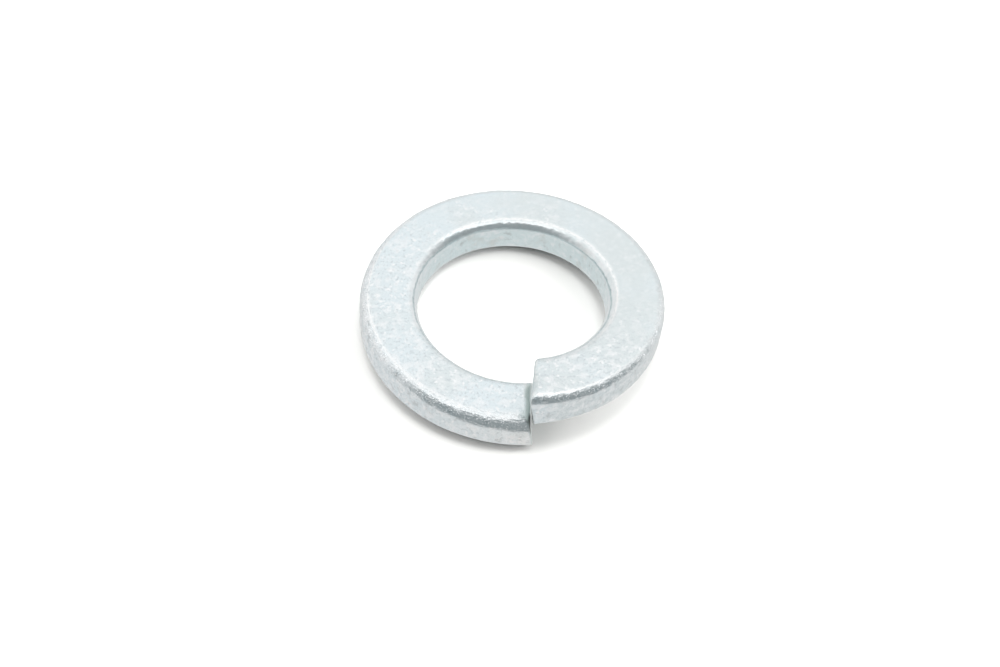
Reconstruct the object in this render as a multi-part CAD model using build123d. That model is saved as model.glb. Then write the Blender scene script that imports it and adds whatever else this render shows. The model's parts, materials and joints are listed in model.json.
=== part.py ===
"""Split spring lock washer: one left-hand turn of rounded rectangular steel wire, sheared at its ends.

Millimetres. The bolt's axis is +Z, the washer stands on Z = 0 and the split faces -Y.
"""

from build123d import *
from math import cos, radians, sin
import os

# The ring, for a 16 mm bolt
bore_diameter = 16.7
wire_width = 5.0
wire_thickness = 3.43
edge_radius = 1.0
free_height = 6.57

# The split: a gap between two parallel sheared faces, which lean from the axis and are turned from
# the radial line. The shear rolled the top edge of each end over, the low end's more.
split_gap = 0.3
cut_lean_angle = 9.9
cut_skew_angle = 15.3
low_end_roll_radius = 0.8
high_end_roll_radius = 0.3

# How steeply a rolled edge runs out into the top face
roll_exit_angle = 12.0

# How far each half turn is made past the split before it is sheared, and tools past the wire
spare_angle = 20.0
tool_overrun = 1.0

# The largest share of the wire's smaller half that its rounded edges may take, and how far, as a share
# of their radius, the section is drawn past the walls that trim it
edge_radius_limit_share = 0.95
wall_overrun_share = 0.04

# Each rounded edge is drawn in short arcs, which keep the coil's facets few
arcs_per_edge = 6

QUARTER_TURN = 90.0
HALF_TURN = 180.0
FULL_TURN = 360.0

bore_radius = bore_diameter / 2
outer_radius = bore_radius + wire_width
mean_radius = bore_radius + wire_width / 2
rise_per_turn = free_height - wire_thickness


def tube():
    """The bore and the outer wall, as true cylinders taller than the coil."""
    height = free_height + rise_per_turn + 2 * tool_overrun
    blank = Cylinder(outer_radius, height) - Cylinder(bore_radius, height + tool_overrun)
    return Pos(0, 0, free_height / 2) * blank


def wire_section():
    """The wire's rounded section, a little wider than the wire so that the tube trims its walls."""
    radius_limit = edge_radius_limit_share * min(wire_width, wire_thickness) / 2
    radius = min(edge_radius, radius_limit)
    outline = RectangleRounded(wire_width + 2 * wall_overrun_share * radius, wire_thickness, radius)
    pieces = []
    for edge in outline.edges():
        count = arcs_per_edge if edge.geom_type == GeomType.CIRCLE else 1
        pieces += [edge.trim(step / count, (step + 1) / count) for step in range(count)]
    return make_face(pieces)


def half_turn(start_angle, end_angle):
    """The wire from one angle of the coil to another, measured clockwise from -Y."""
    turns = (end_angle - start_angle) / FULL_TURN
    path = Helix(rise_per_turn, rise_per_turn * turns, mean_radius, lefthand=True)
    section = Plane.XZ * Pos(mean_radius, wire_thickness / 2) * wire_section()
    wire = sweep(section, path, is_frenet=True)
    start_height = rise_per_turn * start_angle / FULL_TURN
    wire = Pos(0, 0, start_height) * Rot(0, 0, -QUARTER_TURN - start_angle) * wire
    return wire & tube()


def shear(side, top_height, roll_radius):
    """What the shear takes off one end: side is -1 for the low end on -X and 1 for the high end on +X.

    Drawn square to the cut, with Y up along the sheared face, then leaned and turned into place.
    top_height is the wire's top at that end, above the middle of the split.
    """
    lean = radians(cut_lean_angle)
    turn = radians(QUARTER_TURN + side * cut_lean_angle - roll_exit_angle)
    face_x = side * split_gap / 2
    roll_end_x = face_x + side * roll_radius * (1 - cos(turn))
    # The drawing leans with the face, so level there is a slope here
    roll_end_y = (top_height - roll_end_x * sin(lean)) / cos(lean)
    roll_start_y = roll_end_y - roll_radius * sin(turn)
    run_out_x = roll_end_x + side * wire_thickness * sin(turn)
    run_out_y = roll_end_y + wire_thickness * cos(turn)
    far_x = -side * outer_radius
    far_y = free_height + tool_overrun
    roll = TangentArc((face_x, roll_start_y), (roll_end_x, roll_end_y), tangent=(0, 1))
    outline = Polyline(
        (roll_end_x, roll_end_y),
        (run_out_x, run_out_y),
        (run_out_x, far_y),
        (far_x, far_y),
        (far_x, -far_y),
        (face_x, -far_y),
        (face_x, roll_start_y),
    )
    tool = extrude(Plane.XZ * make_face([roll, outline]), wire_width, both=True)
    leaned = Rot(0, -cut_lean_angle, 0) * tool
    return Pos(0, -mean_radius, free_height / 2) * Rot(0, 0, -cut_skew_angle) * leaned


def lock_washer():
    """Two half turns, each sheared at the split and joined opposite it."""
    top_of_low_end = wire_thickness - free_height / 2
    top_of_high_end = free_height / 2
    low_half = half_turn(-spare_angle, HALF_TURN) - shear(-1, top_of_low_end, low_end_roll_radius)
    high_half = half_turn(HALF_TURN, FULL_TURN + spare_angle) - shear(
        1, top_of_high_end, high_end_roll_radius
    )
    ring = low_half + high_half
    return Pos(0, 0, -ring.bounding_box().min.Z) * ring


os.makedirs("parts", exist_ok=True)
export_step(lock_washer(), "parts/lock_washer.step")
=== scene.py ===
"""Split spring lock washer in zinc-plated steel, dressed around its solid and set on a white floor."""

import json
from math import cos, pi, radians, sin, tau

import bmesh
import bpy
import numpy as np
from bpy.props import FloatProperty, FloatVectorProperty, PointerProperty
from mathutils import Matrix, Vector, noise


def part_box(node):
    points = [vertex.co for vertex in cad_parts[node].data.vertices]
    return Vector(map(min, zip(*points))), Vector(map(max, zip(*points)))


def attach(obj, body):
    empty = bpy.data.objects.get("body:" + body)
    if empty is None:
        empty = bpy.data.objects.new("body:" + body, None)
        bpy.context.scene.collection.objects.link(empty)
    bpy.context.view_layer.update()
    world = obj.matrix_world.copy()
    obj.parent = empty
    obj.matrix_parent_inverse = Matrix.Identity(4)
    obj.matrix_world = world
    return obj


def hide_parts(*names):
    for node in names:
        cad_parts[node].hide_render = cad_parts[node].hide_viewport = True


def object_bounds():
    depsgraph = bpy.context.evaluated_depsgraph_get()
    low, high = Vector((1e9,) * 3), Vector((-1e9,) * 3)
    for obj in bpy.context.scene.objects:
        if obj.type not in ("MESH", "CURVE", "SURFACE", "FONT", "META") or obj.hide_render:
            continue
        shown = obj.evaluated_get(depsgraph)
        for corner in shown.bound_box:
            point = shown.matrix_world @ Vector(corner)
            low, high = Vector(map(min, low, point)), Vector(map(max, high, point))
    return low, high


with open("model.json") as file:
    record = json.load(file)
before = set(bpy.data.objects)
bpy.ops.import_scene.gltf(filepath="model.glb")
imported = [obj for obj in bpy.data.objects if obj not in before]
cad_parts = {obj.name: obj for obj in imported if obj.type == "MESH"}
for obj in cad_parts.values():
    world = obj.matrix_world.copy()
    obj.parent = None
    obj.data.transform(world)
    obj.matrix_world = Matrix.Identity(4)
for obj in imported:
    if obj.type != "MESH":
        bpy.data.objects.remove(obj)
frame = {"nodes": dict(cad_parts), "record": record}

bl_info = {
    "name": "Split Lock Washer",
    "version": (1, 0, 0),
    "blender": (4, 5, 0),
    "location": "View3D > Sidebar > Lock Washer",
    "description": "A zinc-plated split spring lock washer on a white floor",
    "category": "Mesh",
}

CAD_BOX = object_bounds()
NODE = "lock_washer"
RING = "lock_washer_ring"
SLOT = "zinc_plated_steel"
MM = 0.001
QUARTER = pi / 2
UP = (0.0, 0.0, 1.0)

# The coil's two ends, by the side of the split that they are on
LOW_END = -1
HIGH_END = 1

# How finely the ring's surface is divided. An end has rings on its sheared face and rows over its edge.
BODY_ROWS = 620
EDGE_ROWS = 8
FACE_RINGS = 12
END_ROWS = FACE_RINGS + EDGE_ROWS
RIM_STEPS = 18
UNDER_STEPS = 10
TOP_STEPS = 36
BOTTOM_STEPS = 20
WALL_STEPS = 10
CUT_PASSES = 4

# In all that follows, a pair says where something starts and where it is full.

# The ends' shapes across the wire, as shares of its width from the bore: where the rolled edges change,
# where the high end's face comes forward and where its tip swells. Then each end's roll at the bore and
# at the outer wall, as shares of its own size.
ROLL_CHANGE = (0.3, 0.6)
FACE_STEP_PLACE = (0.44, 0.5)
TIP_SWELL_PLACE = (0.35, 1.0)
ROLL_SHARES = {LOW_END: (1.0, 0.6), HIGH_END: (0.6, 1.5)}

# The uneven surface: the size of its lumps, their depth, and how much deeper they are along the rims
LUMPS = (
    (4.0 * MM, 0.015 * MM, 0.0),
    (1.6 * MM, 0.008 * MM, 0.018 * MM),
    (0.6 * MM, 0.005 * MM, 0.010 * MM),
    (0.3 * MM, 0.003 * MM, 0.006 * MM),
)

# The finish along the wire: the painted highlight line on the rims that face one way, the warm tint that
# fades along the turn from the low end, and how far the streaks are drawn out
HIGHLIGHT_AZIMUTH = radians(-50)
HIGHLIGHT_FACING = (-0.3, 0.5)
CREST_SLOPE = radians(22)
CREST_SPREAD = radians(6.5)
WARM_REACH = 0.06
STREAK_STRETCH = 2.0

# The sheared colour, in rows from the middle of an end's face. It fades over the low end's rolled edge,
# and in two stages, each with its share, over the high end's.
LOW_FACE_FADE = (END_ROWS - 3, END_ROWS)
HIGH_FACE_FADES = (
    (0.65, FACE_RINGS - 1, FACE_RINGS + 1),
    (0.35, END_ROWS - 2, END_ROWS),
)

# The painted shade at the mouth of the split, in a crevice on the low end, and a dark chip on the high end:
# in rows from the middle of the face, and in shares of the wire's width and of its height
FACE_BORDER = (FACE_RINGS - 3, FACE_RINGS - 1)
CREVICE_ROWS = (FACE_RINGS + 5, FACE_RINGS + 2)
CREVICE_ACROSS = (0.7, 0.82)
CREVICE_UP = (0.55, 0.65)
CHIP_ACROSS = (0.8, 0.95)
CHIP_UP = (0.5, 0.3)

# The marks that the mesh keeps at its points for the finish
MARKS = ("rim", "grit", "crest_highlight", "wall", "bore", "sheared", "shade_and_chip", "warm")
STREAKS = "streaks"

# The finish's noises: the size of their grains, their detail and their roughness
COARSENESS = (6.0 * MM, 2.0, 0.5)
PATCHES = (5.0 * MM, 3.0, 0.5)
STAINS = (2.2 * MM, 3.0, 0.5)
BLOTCHES = (1.2 * MM, 3.0, 0.5)
MOTTLE = (0.8 * MM, 3.0, 0.65)
CLOUDS = (0.7 * MM, 2.0, 0.5)
FLAKES = (0.5 * MM, 1.5, 0.5)
FLECKS = (0.16 * MM, 4.0, 0.5)
SPARKS = (0.14 * MM, 2.0, 0.5)
GRAIN_DETAIL = 2.0
GRAIN_ROUGHNESS = 0.6
NOISE_MIDDLE = 0.5

# The plate is coarser, with more painted glints, towards the front left, by this much of the noise,
# and greyer towards the right as painted shade
FRONT_LEFT = (9 * MM, -9 * MM)
FRONT_LEFT_COARSENESS = 0.5
COARSE_LIMITS = (0.5, 0.95)
RIGHT_SHADE = (-6 * MM, 8 * MM)

# Heights in the plate, as shares of the grain's depth: the grain where the plate is smooth and what it
# gains where it is coarse, the flakes, and the streaks on the outer rim
SMOOTH_GRAIN = 0.4
COARSE_GRAIN = 0.6
FLAKE_HEIGHT = 0.6
STREAK_HEIGHT = 2.0

# The dull sparks on the outer rim, and what the blotches and the sheared faces add to the roughness
SPARK_DULLNESS = 0.5
SPARK_LIMITS = (0.55, 0.68)
BLOTCH_ROUGHNESS = 0.1
SHEARED_ROUGHNESS = 0.12

# The room, by the angle from straight above: the ring of lamps' inner and outer border, where the light
# rises from the horizon, and the blur of the dark side's upper border
LAMP_INNER = (radians(19), radians(27))
LAMP_OUTER = (radians(41), radians(34))
HORIZON_RISE = (radians(62), radians(52))
DARK_BLUR = radians(4)

# The room, by how far a direction goes towards a side of it, or upwards
LAMP_FACING = (-0.1, 0.2)
DARK_FACING = (-0.32, 0.62)
WINDOW_FACING = (0.2, 0.75)
WINDOW_HEIGHT = (0.25, 0.55)
SIDE_FACING = (0.2, 0.8)
SIDE_HEIGHT = (0.15, 0.45)

# How far in front of the washer the paper takes on the dark side's colour in the reflections
DARK_PAPER = (24 * MM, 38 * MM)

# The camera shows this level as white, sees nothing nearer than this, and light that has bounced off the
# paper counts more bounces than this
WHITE = 1.0
CLIP_START = 1 * MM
HALF_BOUNCE = 0.5

# Places of a Mix node's colour sockets, which share their names with its other sockets
MIX_FACTOR = 0
MIX_FIRST = 6
MIX_SECOND = 7
MIX_RESULT = 2


def bore_radius():
    """The bore's radius in metres, from the mount that a bolt goes through."""
    bores = [mount for mount in frame["record"]["mounts"] if mount["kind"] == "bore"]
    return bores[0]["dims"]["r_mm"] * MM


class WasherShape(bpy.types.PropertyGroup):
    """Sizes of the coiled wire and of its sheared ends."""

    bore_radius: FloatProperty(
        name="Bore radius",
        description="Radius of the hole that the bolt goes through",
        default=bore_radius(),
        unit="LENGTH",
    )
    wire_width: FloatProperty(
        name="Wire width",
        description="From the bore to the outer wall",
        default=5.0 * MM,
        unit="LENGTH",
    )
    wire_thickness: FloatProperty(
        name="Wire thickness",
        description="Height of the wire at any place on the coil",
        default=3.43 * MM,
        unit="LENGTH",
    )
    free_height: FloatProperty(
        name="Free height",
        description="From the low end's underside to the high end's top",
        default=6.57 * MM,
        unit="LENGTH",
    )
    under_radius: FloatProperty(
        name="Under radius",
        description="Rounding of the two long edges underneath",
        default=0.86 * MM,
        unit="LENGTH",
    )
    rim_radius: FloatProperty(
        name="Rim radius",
        description="Rounding of the outer top edge",
        default=0.95 * MM,
        unit="LENGTH",
    )
    low_rim_radius: FloatProperty(
        name="Low rim radius",
        description="Rounding of the outer top edge at the low end, where the shear pressed it down",
        default=1.85 * MM,
        unit="LENGTH",
    )
    low_rim_reach: FloatProperty(
        name="Low rim reach",
        description="How much of the turn the pressed edge takes to fade",
        default=0.15,
        subtype="FACTOR",
    )
    bore_rim_radius: FloatProperty(
        name="Bore rim radius",
        description="Rounding of the inner top edge",
        default=1.15 * MM,
        unit="LENGTH",
    )
    split_gap: FloatProperty(
        name="Split gap",
        description="Space between the two sheared faces, square to them",
        default=0.3 * MM,
        unit="LENGTH",
    )
    cut_lean: FloatProperty(
        name="Cut lean",
        description="How far the sheared faces lean from the bolt's axis",
        default=radians(9.9),
        subtype="ANGLE",
    )
    cut_skew: FloatProperty(
        name="Cut skew",
        description="How far the sheared faces are turned from the radial line",
        default=radians(15.3),
        subtype="ANGLE",
    )
    low_roll: FloatProperty(
        name="Low end roll",
        description="Radius that the shear rolled over the low end's top edge",
        default=0.8 * MM,
        unit="LENGTH",
    )
    high_roll: FloatProperty(
        name="High end roll",
        description="Radius that the shear rolled over the high end's top edge",
        default=0.4 * MM,
        unit="LENGTH",
    )
    bore_corner: FloatProperty(
        name="Bore corner",
        description="Rounding of the high end's corner at the bore, seen from above",
        default=0.75 * MM,
        unit="LENGTH",
    )
    tip_swell: FloatProperty(
        name="Tip swell",
        description="How much the outer wall grows, up and down, towards the high end's tip",
        default=0.28 * MM,
        unit="LENGTH",
    )
    tip_reach: FloatProperty(
        name="Tip reach",
        description="How much of the turn that growth takes",
        default=0.035,
        subtype="FACTOR",
    )
    low_twist: FloatProperty(
        name="Low end twist",
        description="How far the low end's face falls back underneath, for each step towards the bore",
        default=0.15,
        subtype="FACTOR",
    )
    face_step: FloatProperty(
        name="Face step",
        description="How far the inner half of the high end's face stands back",
        default=0.04 * MM,
        unit="LENGTH",
    )
    shear_edge: FloatProperty(
        name="Shear edge",
        description="Rounding of the other edges of the sheared faces",
        default=0.08 * MM,
        unit="LENGTH",
    )


class ZincFinish(bpy.types.PropertyGroup):
    """Colours and texture of the zinc plate."""

    plate_colour: FloatVectorProperty(
        name="Plate colour",
        description="Pale bluish white of the clean plate",
        default=(0.76, 0.84, 0.87),
        subtype="COLOR",
    )
    # Greyer plate in random patches, and painted shade that greys the right side
    patch_and_shade_colour: FloatVectorProperty(
        name="Pale colour",
        description="Greyer plate in some patches and on the right",
        default=(0.74, 0.80, 0.81),
        subtype="COLOR",
    )
    grain_colour: FloatVectorProperty(
        name="Grain colour",
        description="Shade between the grains",
        default=(0.60, 0.66, 0.69),
        subtype="COLOR",
    )
    # Wear along the rims, lighter clouds and mottle, and painted glints on the tops of the grains
    wear_and_glint_colour: FloatVectorProperty(
        name="Worn colour",
        description="Brighter metal along the rims and on the tops of the grains",
        default=(0.92, 0.94, 0.95),
        subtype="COLOR",
    )
    # Painted highlight: the bright line where the top turns into its rims
    crest_highlight_colour: FloatVectorProperty(
        name="Crest colour",
        description="Bright metal where the top turns into its rims",
        default=(0.98, 0.99, 0.99),
        subtype="COLOR",
    )
    stain_colour: FloatVectorProperty(
        name="Stain colour",
        description="Dull brown of a few stains",
        default=(0.55, 0.52, 0.47),
        subtype="COLOR",
    )
    bore_colour: FloatVectorProperty(
        name="Bore colour",
        description="Greener plate on the bore's wall",
        default=(0.71, 0.83, 0.84),
        subtype="COLOR",
    )
    warm_colour: FloatVectorProperty(
        name="Warm colour",
        description="Warmer plate on the outer wall by the low end",
        default=(0.88, 0.845, 0.795),
        subtype="COLOR",
    )
    sheared_colour: FloatVectorProperty(
        name="Sheared colour",
        description="Darker plate on the sheared ends",
        default=(0.66, 0.72, 0.71),
        subtype="COLOR",
    )
    # Painted shade in the split's crevice, and the dark of a chip on the high end
    shade_and_chip_colour: FloatVectorProperty(
        name="Deep colour",
        description="Dark of the faces where the split is narrow",
        default=(0.06, 0.07, 0.07),
        subtype="COLOR",
    )
    speck_colour: FloatVectorProperty(
        name="Speck colour",
        description="Grey of the pits and specks in the walls",
        default=(0.45, 0.47, 0.47),
        subtype="COLOR",
    )
    roughness: FloatProperty(
        name="Roughness",
        description="Spread of the plate's reflections",
        default=0.21,
        min=0.0,
        max=1.0,
        subtype="FACTOR",
    )
    grain_size: FloatProperty(
        name="Grain size",
        description="Width of the blasted surface's grains",
        default=0.26 * MM,
        unit="LENGTH",
    )
    grain_depth: FloatProperty(
        name="Grain depth",
        description="Height of the grains",
        default=0.02 * MM,
        unit="LENGTH",
    )


class WasherStage(bpy.types.PropertyGroup):
    """Camera, floor and light."""

    azimuth: FloatProperty(
        name="Azimuth",
        description="Where the camera stands round the washer",
        default=radians(-14.82),
        subtype="ANGLE",
    )
    elevation: FloatProperty(
        name="Elevation",
        description="How far the camera stands above the coil's own level",
        default=radians(49.06),
        subtype="ANGLE",
    )
    roll: FloatProperty(
        name="Roll",
        description="Turn of the camera about its own line of sight",
        default=radians(6.84),
        subtype="ANGLE",
    )
    distance: FloatProperty(
        name="Distance",
        description="From the camera to the point that it looks at",
        default=128.04 * MM,
        unit="LENGTH",
    )
    target: FloatVectorProperty(
        name="Target",
        description="The point that the camera looks at",
        default=(-0.77 * MM, -0.16 * MM, -0.31 * MM),
        subtype="TRANSLATION",
    )
    lens: FloatProperty(
        name="Lens",
        description="Focal length of the camera, in millimetres",
        default=51.13,
        unit="CAMERA",
    )
    floor_radius: FloatProperty(
        name="Floor radius",
        description="Half the floor's width",
        default=0.5,
        unit="LENGTH",
    )
    paper: FloatProperty(
        name="Paper",
        description="Brightness of the white paper under the washer",
        default=0.35,
    )
    paper_seen: FloatVectorProperty(
        name="Paper seen",
        description="The paper's colour as the camera sees it, so that it is exposed to white",
        default=(0.92, 0.92, 0.90),
        subtype="COLOR",
    )
    paper_reflected: FloatProperty(
        name="Paper reflected",
        description="The paper's brightness in the washer's reflections",
        default=0.8,
    )
    room_level: FloatProperty(
        name="Room",
        description="Light in reflections of the back and the sides of the room",
        default=1.0,
    )
    horizon_level: FloatProperty(
        name="Horizon",
        description="Light in reflections of the room's sides, lower down",
        default=0.86,
    )
    lamp_level: FloatProperty(
        name="Lamp",
        description="Light in reflections of the lamps above the camera",
        default=1.32,
    )
    dark_colour: FloatVectorProperty(
        name="Dark side",
        description="Light in reflections of the dark side of the room",
        default=(0.31, 0.34, 0.35),
        subtype="COLOR",
    )
    dark_azimuth: FloatProperty(
        name="Dark side azimuth",
        description="Where the middle of the dark side is round the washer",
        default=radians(5),
        subtype="ANGLE",
    )
    dark_start: FloatProperty(
        name="Dark side start",
        description="How far from straight above the dark side starts",
        default=radians(37),
        subtype="ANGLE",
    )
    fill_level: FloatProperty(
        name="Fill",
        description="Light on the paper from the front and the back",
        default=0.04,
    )
    window_level: FloatProperty(
        name="Window",
        description="Light on the paper from the right",
        default=5.0,
    )
    window_azimuth: FloatProperty(
        name="Window azimuth",
        description="Where that light stands round the washer",
        default=radians(88),
        subtype="ANGLE",
    )
    side_azimuth: FloatProperty(
        name="Side light azimuth",
        description="Where the light from the left stands round the washer",
        default=radians(-118),
        subtype="ANGLE",
    )
    side_level: FloatProperty(
        name="Side light",
        description="Light on the paper from the left",
        default=3.5,
    )
    sun_level: FloatProperty(
        name="Soft light",
        description="Light from above on the paper, which makes the washer's shadow",
        default=0.36,
    )
    sun_size: FloatProperty(
        name="Soft light size",
        description="Width of the light that makes the shadow",
        default=radians(22),
        subtype="ANGLE",
    )
    sun_tilt: FloatProperty(
        name="Soft light tilt",
        description="How far that light stands from straight above",
        default=radians(3),
        subtype="ANGLE",
    )
    sun_azimuth: FloatProperty(
        name="Soft light azimuth",
        description="Where that light stands round the washer",
        default=radians(160),
        subtype="ANGLE",
    )


class Value:
    """A socket of a shader. Sums and products of values add their Math nodes."""

    def __init__(self, shader, socket):
        self.shader = shader
        self.socket = socket

    def math(self, operation, first, second):
        return self.shader.node("ShaderNodeMath", {"operation": operation}, {0: first, 1: second})

    def __add__(self, other):
        return self.math("ADD", self, other)

    def __radd__(self, other):
        return self.math("ADD", other, self)

    def __sub__(self, other):
        return self.math("SUBTRACT", self, other)

    def __rsub__(self, other):
        return self.math("SUBTRACT", other, self)

    def __mul__(self, other):
        return self.math("MULTIPLY", self, other)

    def __rmul__(self, other):
        return self.math("MULTIPLY", other, self)


class Shader:
    """Adds nodes to one tree, from an empty start."""

    def __init__(self, tree):
        self.tree = tree
        tree.nodes.clear()

    def node(self, kind, settings=None, sockets=None, output=0):
        """Adds a node: its settings first, then its sockets' values or links. Gives one output."""
        made = self.tree.nodes.new(kind)
        for name, value in (settings or {}).items():
            setattr(made, name, value)
        for name, value in (sockets or {}).items():
            if isinstance(value, Value):
                self.tree.links.new(value.socket, made.inputs[name])
            else:
                made.inputs[name].default_value = value
        return Value(self, made.outputs[output]) if made.outputs else None

    def mix(self, factor, first, second):
        """A colour between two others."""
        return self.node(
            "ShaderNodeMix",
            {"data_type": "RGBA"},
            {MIX_FACTOR: factor, MIX_FIRST: first, MIX_SECOND: second},
            output=MIX_RESULT,
        )

    def step(self, value, low, high):
        """A smooth step from 0 at low to 1 at high."""
        return self.node(
            "ShaderNodeMapRange",
            {"interpolation_type": "SMOOTHSTEP"},
            {"Value": value, "From Min": low, "From Max": high},
        )

    def dot(self, first, second):
        """How far one direction goes along another."""
        return self.node(
            "ShaderNodeVectorMath",
            {"operation": "DOT_PRODUCT"},
            {0: first, 1: second},
            output="Value",
        )

    def attribute(self, name):
        """A mark that the mesh keeps at its points."""
        return self.node("ShaderNodeAttribute", {"attribute_name": name}, output="Fac")

    def noise(self, place, size, detail, roughness):
        """Smooth noise from 0 to 1 with grains of the given size."""
        return self.node(
            "ShaderNodeTexNoise",
            None,
            {"Vector": place, "Scale": 1 / size, "Detail": detail, "Roughness": roughness},
        )


def way(azimuth, elevation=0.0):
    """The direction from the washer to something that stands round it."""
    across = cos(elevation)
    return (sin(azimuth) * across, -cos(azimuth) * across, sin(elevation))


def grey(level):
    """A colour of one level."""
    return (level, level, level, 1.0)


def smooth(value, low, high):
    """A smooth step from 0 at low to 1 at high."""
    share = np.clip((value - low) / (high - low), 0, 1)
    return share * share * (3 - 2 * share)


def wire_section(shape, share):
    """The wire's outline at each share of the coil: radius and height, with each point's outward normal."""
    share = np.atleast_1d(share)[:, None]
    inner = shape.bore_radius
    outer = inner + shape.wire_width
    top = shape.wire_thickness
    pressed = np.exp(-share / shape.low_rim_reach)
    rim = shape.rim_radius + (shape.low_rim_radius - shape.rim_radius) * pressed
    bore_rim = np.full_like(share, shape.bore_rim_radius)
    under = np.full_like(share, shape.under_radius)
    # Each rounded edge in turn: its wall, its side of the wire, its face, that face's side, radius, steps
    edges = (
        (outer, 1, 0.0, -1, under, UNDER_STEPS),
        (outer, 1, top, 1, rim, RIM_STEPS),
        (inner, -1, top, 1, bore_rim, RIM_STEPS),
        (inner, -1, 0.0, -1, under, UNDER_STEPS),
    )
    curves = []
    for wall, outward, face, upward, edge_radius, steps in edges:
        turn = np.linspace(0, QUARTER, steps + 1)[None]
        # The outline runs anticlockwise, so it enters two of the edges from their wall
        turn = turn[:, ::-1] if outward == upward else turn
        r = wall - outward * edge_radius * (1 - np.sin(turn))
        h = face - upward * edge_radius * (1 - np.cos(turn))
        curves.append([r, h, outward * np.sin(turn), upward * np.cos(turn)])
    outline = []
    for k, steps in enumerate((WALL_STEPS, TOP_STEPS, WALL_STEPS, BOTTOM_STEPS)):
        along = np.arange(1, steps) / steps
        pairs = zip(curves[k], curves[(k + 1) % len(curves)])
        outline.append(curves[k])
        outline.append([one[:, -1:] + (two[:, :1] - one[:, -1:]) * along for one, two in pairs])
    radius, height, normal_r, normal_h = (np.hstack(parts) for parts in zip(*outline))
    swollen = smooth((radius - inner) / shape.wire_width, *TIP_SWELL_PLACE)
    swell = shape.tip_swell * np.exp((share - 1) / shape.tip_reach) * swollen
    return radius, height + swell * (2 * height / top - 1), normal_r[0], normal_h[0]


def set_back(shape, end, radius, height):
    """How far an end's face falls back: the low end's is twisted, the high end's rounded at the bore."""
    inside = radius - shape.bore_radius
    if end == LOW_END:
        depth = 1 - height / shape.wire_thickness
        return shape.low_twist * (shape.wire_width - inside) * depth
    short = np.clip(1 - inside / shape.bore_corner, 0, 1)
    corner = shape.bore_corner * (1 - np.sqrt(1 - short * short))
    return corner + shape.face_step * (1 - smooth(inside / shape.wire_width, *FACE_STEP_PLACE))


def cut_angle(shape, end, radius, height):
    """Coil angle at which a line of the wire, at this radius and height, meets an end's sheared face."""
    rise = shape.free_height - shape.wire_thickness
    middle = shape.bore_radius + shape.wire_width / 2
    whole = tau if end == HIGH_END else 0.0
    face = end * (shape.split_gap / 2 + set_back(shape, end, radius, height))
    angle = np.zeros_like(radius)
    for _ in range(CUT_PASSES):
        above = rise * (angle + whole) / tau + height - shape.free_height / 2
        across = (face - above * sin(shape.cut_lean)) / cos(shape.cut_lean)
        angle = shape.cut_skew - np.arcsin((across + middle * sin(shape.cut_skew)) / radius)
    return angle + whole


def end_rows(shape, end):
    """Rows from the middle of a sheared face, over its rolled edge, to the full wire."""
    share = 1.0 if end == HIGH_END else 0.0
    radius, height, normal_r, normal_h = wire_section(shape, share)
    radius, height = radius[0], height[0]
    at_bore, at_wall = ROLL_SHARES[end]
    outward = smooth((radius - shape.bore_radius) / shape.wire_width, *ROLL_CHANGE)
    roll = shape.high_roll if end == HIGH_END else shape.low_roll
    roll = roll * (at_bore + (at_wall - at_bore) * outward)
    upward = np.clip(normal_h, 0, 1) ** 2
    edge = shape.shear_edge + (roll - shape.shear_edge) * upward
    middle_r = shape.bore_radius + shape.wire_width / 2
    middle_h = shape.wire_thickness / 2
    rows = []
    for reach in np.linspace(0, 1, FACE_RINGS + 1)[1:]:
        r = middle_r + reach * (radius - edge * normal_r - middle_r)
        h = middle_h + reach * (height - edge * normal_h - middle_h)
        rows.append((r, h, cut_angle(shape, end, r, h)))
    for turn in np.linspace(0, QUARTER, EDGE_ROWS + 1)[1:]:
        r = radius - edge * (1 - sin(turn)) * normal_r
        h = height - edge * (1 - sin(turn)) * normal_h
        along = edge * (1 - cos(turn)) / (r * cos(shape.cut_skew))
        rows.append((r, h, cut_angle(shape, end, r, h) - end * along))
    return rows


def coil_points(shape, radius, height, angle):
    """Places in space of points on the wire, their coil angle measured clockwise from -Y."""
    rise = shape.free_height - shape.wire_thickness
    x = -radius * np.sin(angle)
    y = -radius * np.cos(angle)
    z = height + rise * angle / tau
    return np.stack([x, y, z], axis=-1)


def washer_rows(shape):
    """The whole ring as rows of points, from the middle of one sheared face to the other's."""
    low = end_rows(shape, LOW_END)
    high = end_rows(shape, HIGH_END)
    share = np.linspace(0, 1, BODY_ROWS + 1)[1:-1]
    radius, height, _, _ = wire_section(shape, share)
    angle = low[-1][2] + (high[-1][2] - low[-1][2]) * share[:, None]
    body = list(zip(radius, height, angle))
    return np.array([coil_points(shape, *row) for row in low + body + high[::-1]])


def ring_mesh(name, rows):
    """A closed mesh of the rows, with a point at the middle of each end."""
    count, around = rows.shape[:2]
    points = np.vstack([rows.reshape(-1, 3), rows[0].mean(0), rows[-1].mean(0)])
    index = np.arange(count * around).reshape(count, around)
    ahead = np.roll(index, -1, axis=1)
    quads = np.stack([index[:-1], ahead[:-1], ahead[1:], index[1:]], axis=-1).reshape(-1, 4)
    first = [(count * around, b, a) for a, b in zip(index[0], ahead[0])]
    last = [(count * around + 1, a, b) for a, b in zip(index[-1], ahead[-1])]
    mesh = bpy.data.meshes.new(name)
    mesh.from_pydata(points.tolist(), [], quads.tolist() + first + last)
    mesh.validate()
    mesh.shade_smooth()
    return mesh


def sheared_rows(count):
    """How far each of the ring's rows shows sheared metal, from the low end to the high one."""
    steps = np.arange(END_ROWS)
    low = 1 - smooth(steps, *LOW_FACE_FADE)
    high = 1 - sum(share * smooth(steps, start, full) for share, start, full in HIGH_FACE_FADES)
    return np.concatenate([low, np.zeros(count - 2 * END_ROWS), high[::-1]])


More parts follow.
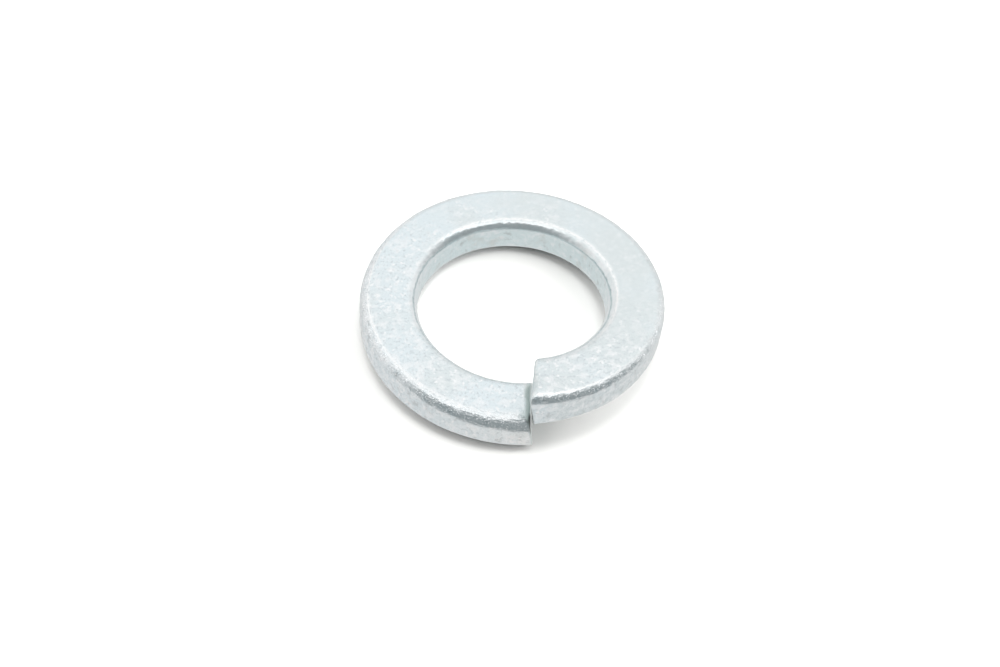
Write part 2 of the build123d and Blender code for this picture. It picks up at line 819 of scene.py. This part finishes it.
def crest_highlight_weights(shape, rows, share, normal_r, normal_h):
    """A painted highlight where the top turns into its rims. It fades where the low end's rim is pressed.
    """
    highlight_way = np.array(way(HIGHLIGHT_AZIMUTH)[:2])
    plan = rows[..., :2] / np.linalg.norm(rows[..., :2], axis=-1, keepdims=True)
    facing = smooth((plan @ highlight_way) * np.sign(normal_r), *HIGHLIGHT_FACING)
    slope = np.arccos(np.clip(normal_h, -1, 1))
    pressed = np.exp(-share / shape.low_rim_reach) * np.clip(np.sign(normal_r), 0, 1)
    return facing * (1 - pressed) * np.exp(-(((slope - CREST_SLOPE) / CREST_SPREAD) ** 2))


def split_dark(shape, count, radius, height):
    """Painted shade at the mouth of the split, in a crevice on the low end, and a dark chip on the high
    one.
    """
    outward = (radius - shape.bore_radius) / shape.wire_width
    raised = height / shape.wire_thickness
    steps = np.arange(END_ROWS)
    border = smooth(steps, *FACE_BORDER)
    crevice = smooth(outward, *CREVICE_ACROSS) * smooth(raised, *CREVICE_UP)
    chip = smooth(outward, *CHIP_ACROSS) * smooth(raised, *CHIP_UP)
    dark = np.zeros((count, len(radius)))
    dark[:END_ROWS] = np.outer(border * smooth(steps, *CREVICE_ROWS), crevice)
    dark[-END_ROWS:] = np.outer(border * (1 - smooth(steps, *LOW_FACE_FADE)), chip)[::-1]
    return dark


def streak_places(shape, rows, share):
    """Places in the streaks' noise, which is drawn out along the wire."""
    radius = np.linalg.norm(rows[..., :2], axis=-1)
    along = np.broadcast_to(share * tau * shape.bore_radius / STREAK_STRETCH, radius.shape)
    places = np.stack([along, radius, rows[..., 2]], axis=-1).reshape(-1, 3)
    # The mesh's last two points are the middles of the sheared faces
    return np.vstack([places, places[0], places[-1]])


def mark_places(mesh, shape, rows):
    """Marks the rims, the walls, the bore and the ends at the mesh's points, for the finish and its painted
    highlight and shade.
    """
    count, around = rows.shape[:2]
    radius, height, normal_r, normal_h = wire_section(shape, 0.0)
    share = np.linspace(0, 1, count)[:, None]
    sheared = sheared_rows(count)[:, None]
    # 1 halfway round a top rim
    rim = np.where(normal_h > 0, (2 * normal_h * normal_r) ** 2, 0.0)
    outer_wall = np.clip(normal_r, 0, 1) ** 2
    on_wire = {
        "rim": rim,
        "grit": np.where(normal_r > 0, rim, 0.0),
        # A painted highlight where the top turns into its rims
        "crest_highlight": crest_highlight_weights(shape, rows, share, normal_r, normal_h),
        "wall": normal_r**2,
        "bore": np.clip(-normal_r, 0, 1) ** 2,
        "warm": np.exp(-share / WARM_REACH) * outer_wall,
    }
    marks = {name: (1 - sheared) * weights for name, weights in on_wire.items()}
    marks["sheared"] = np.repeat(sheared, around, axis=1)
    # Painted shade in the split's crevice, and a dark chip
    marks["shade_and_chip"] = split_dark(shape, count, radius[0], height[0])
    for name in MARKS:
        # The mesh's last two points are the middles of the sheared faces
        weights = np.append(marks[name], [float(name == "sheared")] * 2)
        mesh.attributes.new(name, "FLOAT", "POINT").data.foreach_set("value", weights)
    streaks = streak_places(shape, rows, share).ravel()
    mesh.attributes.new(STREAKS, "FLOAT_VECTOR", "POINT").data.foreach_set("vector", streaks)


def roughen(mesh):
    """Moves the surface in and out a little, as rolled and blasted wire is uneven, most at the rims."""
    count = len(mesh.vertices)
    places = np.empty(count * 3)
    normals = np.empty(count * 3)
    rim = np.empty(count)
    mesh.vertices.foreach_get("co", places)
    mesh.vertex_normals.foreach_get("vector", normals)
    mesh.attributes["rim"].data.foreach_get("value", rim)
    places = places.reshape(-1, 3)
    normals = normals.reshape(-1, 3)
    relief = np.zeros(count)
    for size, depth, rim_depth in LUMPS:
        lumps = np.array([noise.noise(Vector(place) / size) for place in places])
        relief += lumps * (depth + rim_depth * rim)
    places += normals * relief[:, None]
    mesh.vertices.foreach_set("co", places.ravel())
    mesh.update()


def zinc_plate(finish):
    """Pale bluish zinc plate over blasted steel."""
    material = bpy.data.materials.new(SLOT)
    material.use_nodes = True
    shader = Shader(material.node_tree)
    place = shader.node("ShaderNodeTexCoord", output="Object")
    drawn_place = shader.node("ShaderNodeAttribute", {"attribute_name": STREAKS}, output="Vector")
    across = shader.node("ShaderNodeSeparateXYZ", None, {"Vector": place}, output="X")
    back = shader.node("ShaderNodeSeparateXYZ", None, {"Vector": place}, output="Y")
    rim, grit, crest_highlight, wall, bore, sheared, shade_and_chip, warm = (shader.attribute(name) for name in MARKS)
    patches = shader.noise(place, *PATCHES)
    stains = shader.noise(place, *STAINS)
    blotches = shader.noise(place, *BLOTCHES)
    mottle = shader.noise(place, *MOTTLE)
    clouds = shader.noise(place, *CLOUDS)
    flakes = shader.noise(place, *FLAKES)
    flecks = shader.noise(drawn_place, *FLECKS)
    sparks = shader.noise(place, *SPARKS)
    grain = shader.noise(place, finish.grain_size, GRAIN_DETAIL, GRAIN_ROUGHNESS)
    front_left = shader.step(across + back, *FRONT_LEFT)
    coarseness = shader.noise(place, *COARSENESS) + FRONT_LEFT_COARSENESS * front_left
    coarse = shader.step(coarseness, *COARSE_LIMITS)
    # Painted shade: the plate greys towards the right
    right = shader.step(across, *RIGHT_SHADE)

    # What is laid over the plate, in turn: its colour, how much of it and where, and for those that a
    # noise breaks up, that noise and the values of it at which they start and are full
    layers = (
        # Greyer patches, and painted shade towards the right
        (finish.patch_and_shade_colour, 1.0, patches + 0.25 * right, 0.4, 0.8),
        (finish.grain_colour, 0.15 + 0.7 * coarse, grain, 0.5, 0.25),
        (finish.wear_and_glint_colour, 0.15 + 0.45 * coarse, clouds, 0.45, 0.7),
        # Painted glints: brighter spots on the tops of the flakes and grains, most where the plate is
        # coarse
        (finish.wear_and_glint_colour, 0.2 + 0.8 * coarse, flakes + 0.4 * grain, 0.78, 0.95),
        (finish.bore_colour, 0.7 * bore),
        (finish.warm_colour, 0.8 * warm),
        (finish.wear_and_glint_colour, 0.5 * wall, mottle, 0.5, 0.68),
        (finish.speck_colour, 0.5 * wall, mottle, 0.46, 0.26),
        (finish.speck_colour, 0.38 * grit, flecks, 0.48, 0.34),
        (finish.speck_colour, 0.5 * grit, sparks, 0.45, 0.32),
        (finish.wear_and_glint_colour, 0.6 * rim, blotches + 0.4 * flecks, 0.5, 0.75),
        (finish.wear_and_glint_colour, 0.6 * rim * bore),
        # The painted highlight along the rims
        (finish.crest_highlight_colour, crest_highlight, flecks, 0.34, 0.5),
        (finish.stain_colour, 0.3 * bore, stains, 0.55, 0.7),
        (finish.sheared_colour, sheared),
        # Painted shade in the split, and a dark chip
        (finish.shade_and_chip_colour, shade_and_chip),
    )
    base = (*finish.plate_colour, 1.0)
    for colour, amount, *breaks in layers:
        if breaks:
            amount = amount * shader.step(*breaks)
        base = shader.mix(amount, base, (*colour, 1.0))

    height = (SMOOTH_GRAIN + COARSE_GRAIN * coarse) * grain
    height = height + FLAKE_HEIGHT * flakes + STREAK_HEIGHT * grit * flecks
    bump = shader.node(
        "ShaderNodeBump",
        None,
        {"Strength": 1.0, "Distance": finish.grain_depth, "Height": height},
    )
    uneven = BLOTCH_ROUGHNESS * (blotches - NOISE_MIDDLE) + SHEARED_ROUGHNESS * sheared
    surface = shader.node(
        "ShaderNodeBsdfPrincipled",
        None,
        {
            "Base Color": base,
            "Metallic": 1.0 - SPARK_DULLNESS * grit * shader.step(sparks, *SPARK_LIMITS),
            "Roughness": finish.roughness + uneven,
            "Normal": bump,
        },
    )
    shader.node("ShaderNodeOutputMaterial", None, {"Surface": surface})
    return material


class OBJECT_OT_lock_washer(bpy.types.Operator):
    """Makes the washer's coil of wire with its finish"""

    bl_idname = "object.lock_washer"
    bl_label = "Lock Washer"

    def execute(self, context):
        shape = context.scene.washer_shape
        rows = washer_rows(shape)
        mesh = ring_mesh(RING, rows)
        mark_places(mesh, shape, rows)
        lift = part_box(NODE)[0].z - min(vertex.co.z for vertex in mesh.vertices)
        mesh.transform(Matrix.Translation((0, 0, lift)))
        roughen(mesh)
        mesh.materials.append(zinc_plate(context.scene.zinc_finish))
        ring = bpy.data.objects.new(RING, mesh)
        context.collection.objects.link(ring)
        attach(ring, "root")
        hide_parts(NODE)
        return {"FINISHED"}


def resting_normal(mesh):
    """Upward normal of the plane that the washer rests on: the side of its hull under its middle."""
    hull = bmesh.new()
    hull.from_mesh(mesh)
    made = bmesh.ops.convex_hull(hull, input=hull.verts, use_existing_faces=False)
    hull.normal_update()
    middle = (CAD_BOX[0] + CAD_BOX[1]) / 2
    faces = [side for side in made["geom"] if isinstance(side, bmesh.types.BMFace)]
    below = [side for side in faces if under(side, middle)]
    if not below:
        raise RuntimeError("no side of the washer's hull lies under its middle")
    normal = -min(below, key=lambda side: side.normal.z).normal
    hull.free()
    return normal


def under(side, point):
    """Whether the point stands square over this triangle."""
    corners = [vertex.co for vertex in side.verts]
    for first, second in zip(corners, corners[1:] + corners[:1]):
        if (second - first).cross(point - first).dot(side.normal) < 0:
            return False
    return True


def seen_in_metal(shader):
    """1 for what the camera sees in metal or through glass, 0 for light on its way to the paper."""
    glossy = shader.node("ShaderNodeLightPath", output="Is Glossy Ray")
    through = shader.node("ShaderNodeLightPath", output="Is Transmission Ray")
    bounces = shader.node("ShaderNodeLightPath", output="Diffuse Depth")
    either = shader.node("ShaderNodeMath", {"operation": "MAXIMUM"}, {0: glossy, 1: through})
    return either * shader.node("ShaderNodeMath", {"operation": "LESS_THAN"}, {0: bounces, 1: HALF_BOUNCE})


def floor_paper(stage):
    """White paper, exposed to white where the camera sees it and keeping the washer's shadow."""
    material = bpy.data.materials.new("white_paper")
    material.use_nodes = True
    shader = Shader(material.node_tree)
    plain = shader.node("ShaderNodeBsdfDiffuse", None, {"Color": grey(stage.paper)})
    exposed = shader.node("ShaderNodeBsdfDiffuse", None, {"Color": (*stage.paper_seen, 1.0)})
    place = shader.node("ShaderNodeTexCoord", output="Object")
    far = shader.step(shader.dot(place, way(stage.dark_azimuth)), *DARK_PAPER)
    level = shader.mix(far, grey(stage.paper_reflected), (*stage.dark_colour, 1.0))
    reflected = shader.node("ShaderNodeEmission", None, {"Color": level})
    camera = shader.node("ShaderNodeLightPath", output="Is Camera Ray")
    paper = shader.node("ShaderNodeMixShader", None, {0: seen_in_metal(shader), 1: plain, 2: reflected})
    paper = shader.node("ShaderNodeMixShader", None, {0: camera, 1: paper, 2: exposed})
    shader.node("ShaderNodeOutputMaterial", None, {"Surface": paper})
    return material


def cone(shader, above, start, full):
    """A smooth step by the angle from straight above: 0 at start, 1 at full."""
    return shader.step(above, cos(start), cos(full))


def studio_world(stage):
    """A bright room with lamps above the camera and a dark side behind it. The camera sees plain white."""
    world = bpy.data.worlds.new("studio")
    world.use_nodes = True
    shader = Shader(world.node_tree)
    direction = shader.node("ShaderNodeTexCoord", output="Generated")
    above = shader.dot(direction, UP)
    forward = shader.dot(direction, way(stage.dark_azimuth))

    # What the metal shows
    ring = cone(shader, above, *LAMP_INNER) * cone(shader, above, *LAMP_OUTER)
    lamps = ring * shader.step(forward, *LAMP_FACING)
    front = shader.step(forward, *DARK_FACING)
    low = 1.0 - cone(shader, above, stage.dark_start + DARK_BLUR, stage.dark_start - DARK_BLUR)
    high = cone(shader, above, *HORIZON_RISE)
    room = shader.mix(high, grey(stage.horizon_level), grey(stage.room_level))
    room = shader.mix(lamps, room, grey(stage.lamp_level))
    room = shader.mix(front * low, room, (*stage.dark_colour, 1.0))

    # What lights the paper
    right = shader.dot(direction, way(stage.window_azimuth))
    left = shader.dot(direction, way(stage.side_azimuth))
    window = shader.step(right, *WINDOW_FACING) * shader.step(above, *WINDOW_HEIGHT)
    side = shader.step(left, *SIDE_FACING) * shader.step(above, *SIDE_HEIGHT)
    fill = shader.mix(window, grey(stage.fill_level), grey(stage.window_level))
    fill = shader.mix(side, fill, grey(stage.side_level))

    camera = shader.node("ShaderNodeLightPath", output="Is Camera Ray")
    light = shader.mix(seen_in_metal(shader), fill, room)
    light = shader.mix(camera, light, grey(WHITE))
    background = shader.node("ShaderNodeBackground", None, {"Color": light, "Strength": 1.0})
    shader.node("ShaderNodeOutputWorld", None, {"Surface": background})
    return world


def add_floor(stage, collection):
    """Adds the paper, on the plane that the washer rests on."""
    normal = resting_normal(frame["nodes"][NODE].data)
    ring = bpy.data.objects[RING].data
    lowest = min(vertex.co.dot(normal) for vertex in ring.vertices)
    half = stage.floor_radius
    corners = [(-half, -half, 0), (half, -half, 0), (half, half, 0), (-half, half, 0)]
    mesh = bpy.data.meshes.new("floor")
    mesh.from_pydata(corners, [], [(0, 1, 2, 3)])
    mesh.materials.append(floor_paper(stage))
    floor = bpy.data.objects.new("floor", mesh)
    tilt = Vector(UP).rotation_difference(normal).to_matrix().to_4x4()
    floor.matrix_world = Matrix.Translation(normal * lowest) @ tilt
    collection.objects.link(floor)
    return floor


def add_soft_light(stage, floor, collection):
    """Adds the light above the paper, which the metal doesn't show."""
    data = bpy.data.lights.new("soft_light", "SUN")
    data.energy = pi * stage.sun_level
    data.angle = stage.sun_size
    light = bpy.data.objects.new("soft_light", data)
    tilt = Matrix.Rotation(stage.sun_azimuth, 4, "Z") @ Matrix.Rotation(stage.sun_tilt, 4, "X")
    light.matrix_world = floor.matrix_world @ tilt
    light.visible_glossy = False
    collection.objects.link(light)


def add_camera(stage, collection):
    """Adds the camera, above and in front of the washer."""
    data = bpy.data.cameras.new("camera")
    data.lens = stage.lens
    data.clip_start = CLIP_START
    camera = bpy.data.objects.new("camera", data)
    back = Vector(way(stage.azimuth, stage.elevation))
    place = Matrix.Translation(Vector(stage.target) + back * stage.distance)
    turn = (-back).to_track_quat("-Z", "Y").to_matrix().to_4x4()
    camera.matrix_world = place @ turn @ Matrix.Rotation(stage.roll, 4, "Z")
    collection.objects.link(camera)
    return camera


class SCENE_OT_washer_stage(bpy.types.Operator):
    """Makes the floor, the light and the camera"""

    bl_idname = "scene.washer_stage"
    bl_label = "Washer Stage"

    def execute(self, context):
        scene = context.scene
        stage = scene.washer_stage
        floor = add_floor(stage, context.collection)
        add_soft_light(stage, floor, context.collection)
        scene.world = studio_world(stage)
        scene.camera = add_camera(stage, context.collection)
        scene.view_settings.view_transform = "Standard"
        return {"FINISHED"}


class VIEW3D_PT_lock_washer(bpy.types.Panel):
    """Lists the washer's sizes, its finish and its stage"""

    bl_label = "Lock Washer"
    bl_space_type = "VIEW_3D"
    bl_region_type = "UI"
    bl_category = "Lock Washer"

    def draw(self, context):
        scene = context.scene
        for settings in (scene.washer_shape, scene.zinc_finish, scene.washer_stage):
            box = self.layout.box()
            for name in settings.__annotations__:
                box.prop(settings, name)
        self.layout.operator(OBJECT_OT_lock_washer.bl_idname)
        self.layout.operator(SCENE_OT_washer_stage.bl_idname)


CLASSES = (
    WasherShape,
    ZincFinish,
    WasherStage,
    OBJECT_OT_lock_washer,
    SCENE_OT_washer_stage,
    VIEW3D_PT_lock_washer,
)


def register():
    """Adds the classes and their settings to Blender."""
    for kind in CLASSES:
        bpy.utils.register_class(kind)
    bpy.types.Scene.washer_shape = PointerProperty(type=WasherShape)
    bpy.types.Scene.zinc_finish = PointerProperty(type=ZincFinish)
    bpy.types.Scene.washer_stage = PointerProperty(type=WasherStage)


def unregister():
    """Takes them out again."""
    del bpy.types.Scene.washer_stage
    del bpy.types.Scene.zinc_finish
    del bpy.types.Scene.washer_shape
    for kind in reversed(CLASSES):
        bpy.utils.unregister_class(kind)


def main():
    """Makes the washer and its stage."""
    register()
    bpy.ops.object.lock_washer()
    bpy.ops.scene.washer_stage()


if __name__ == "__main__":
    main()
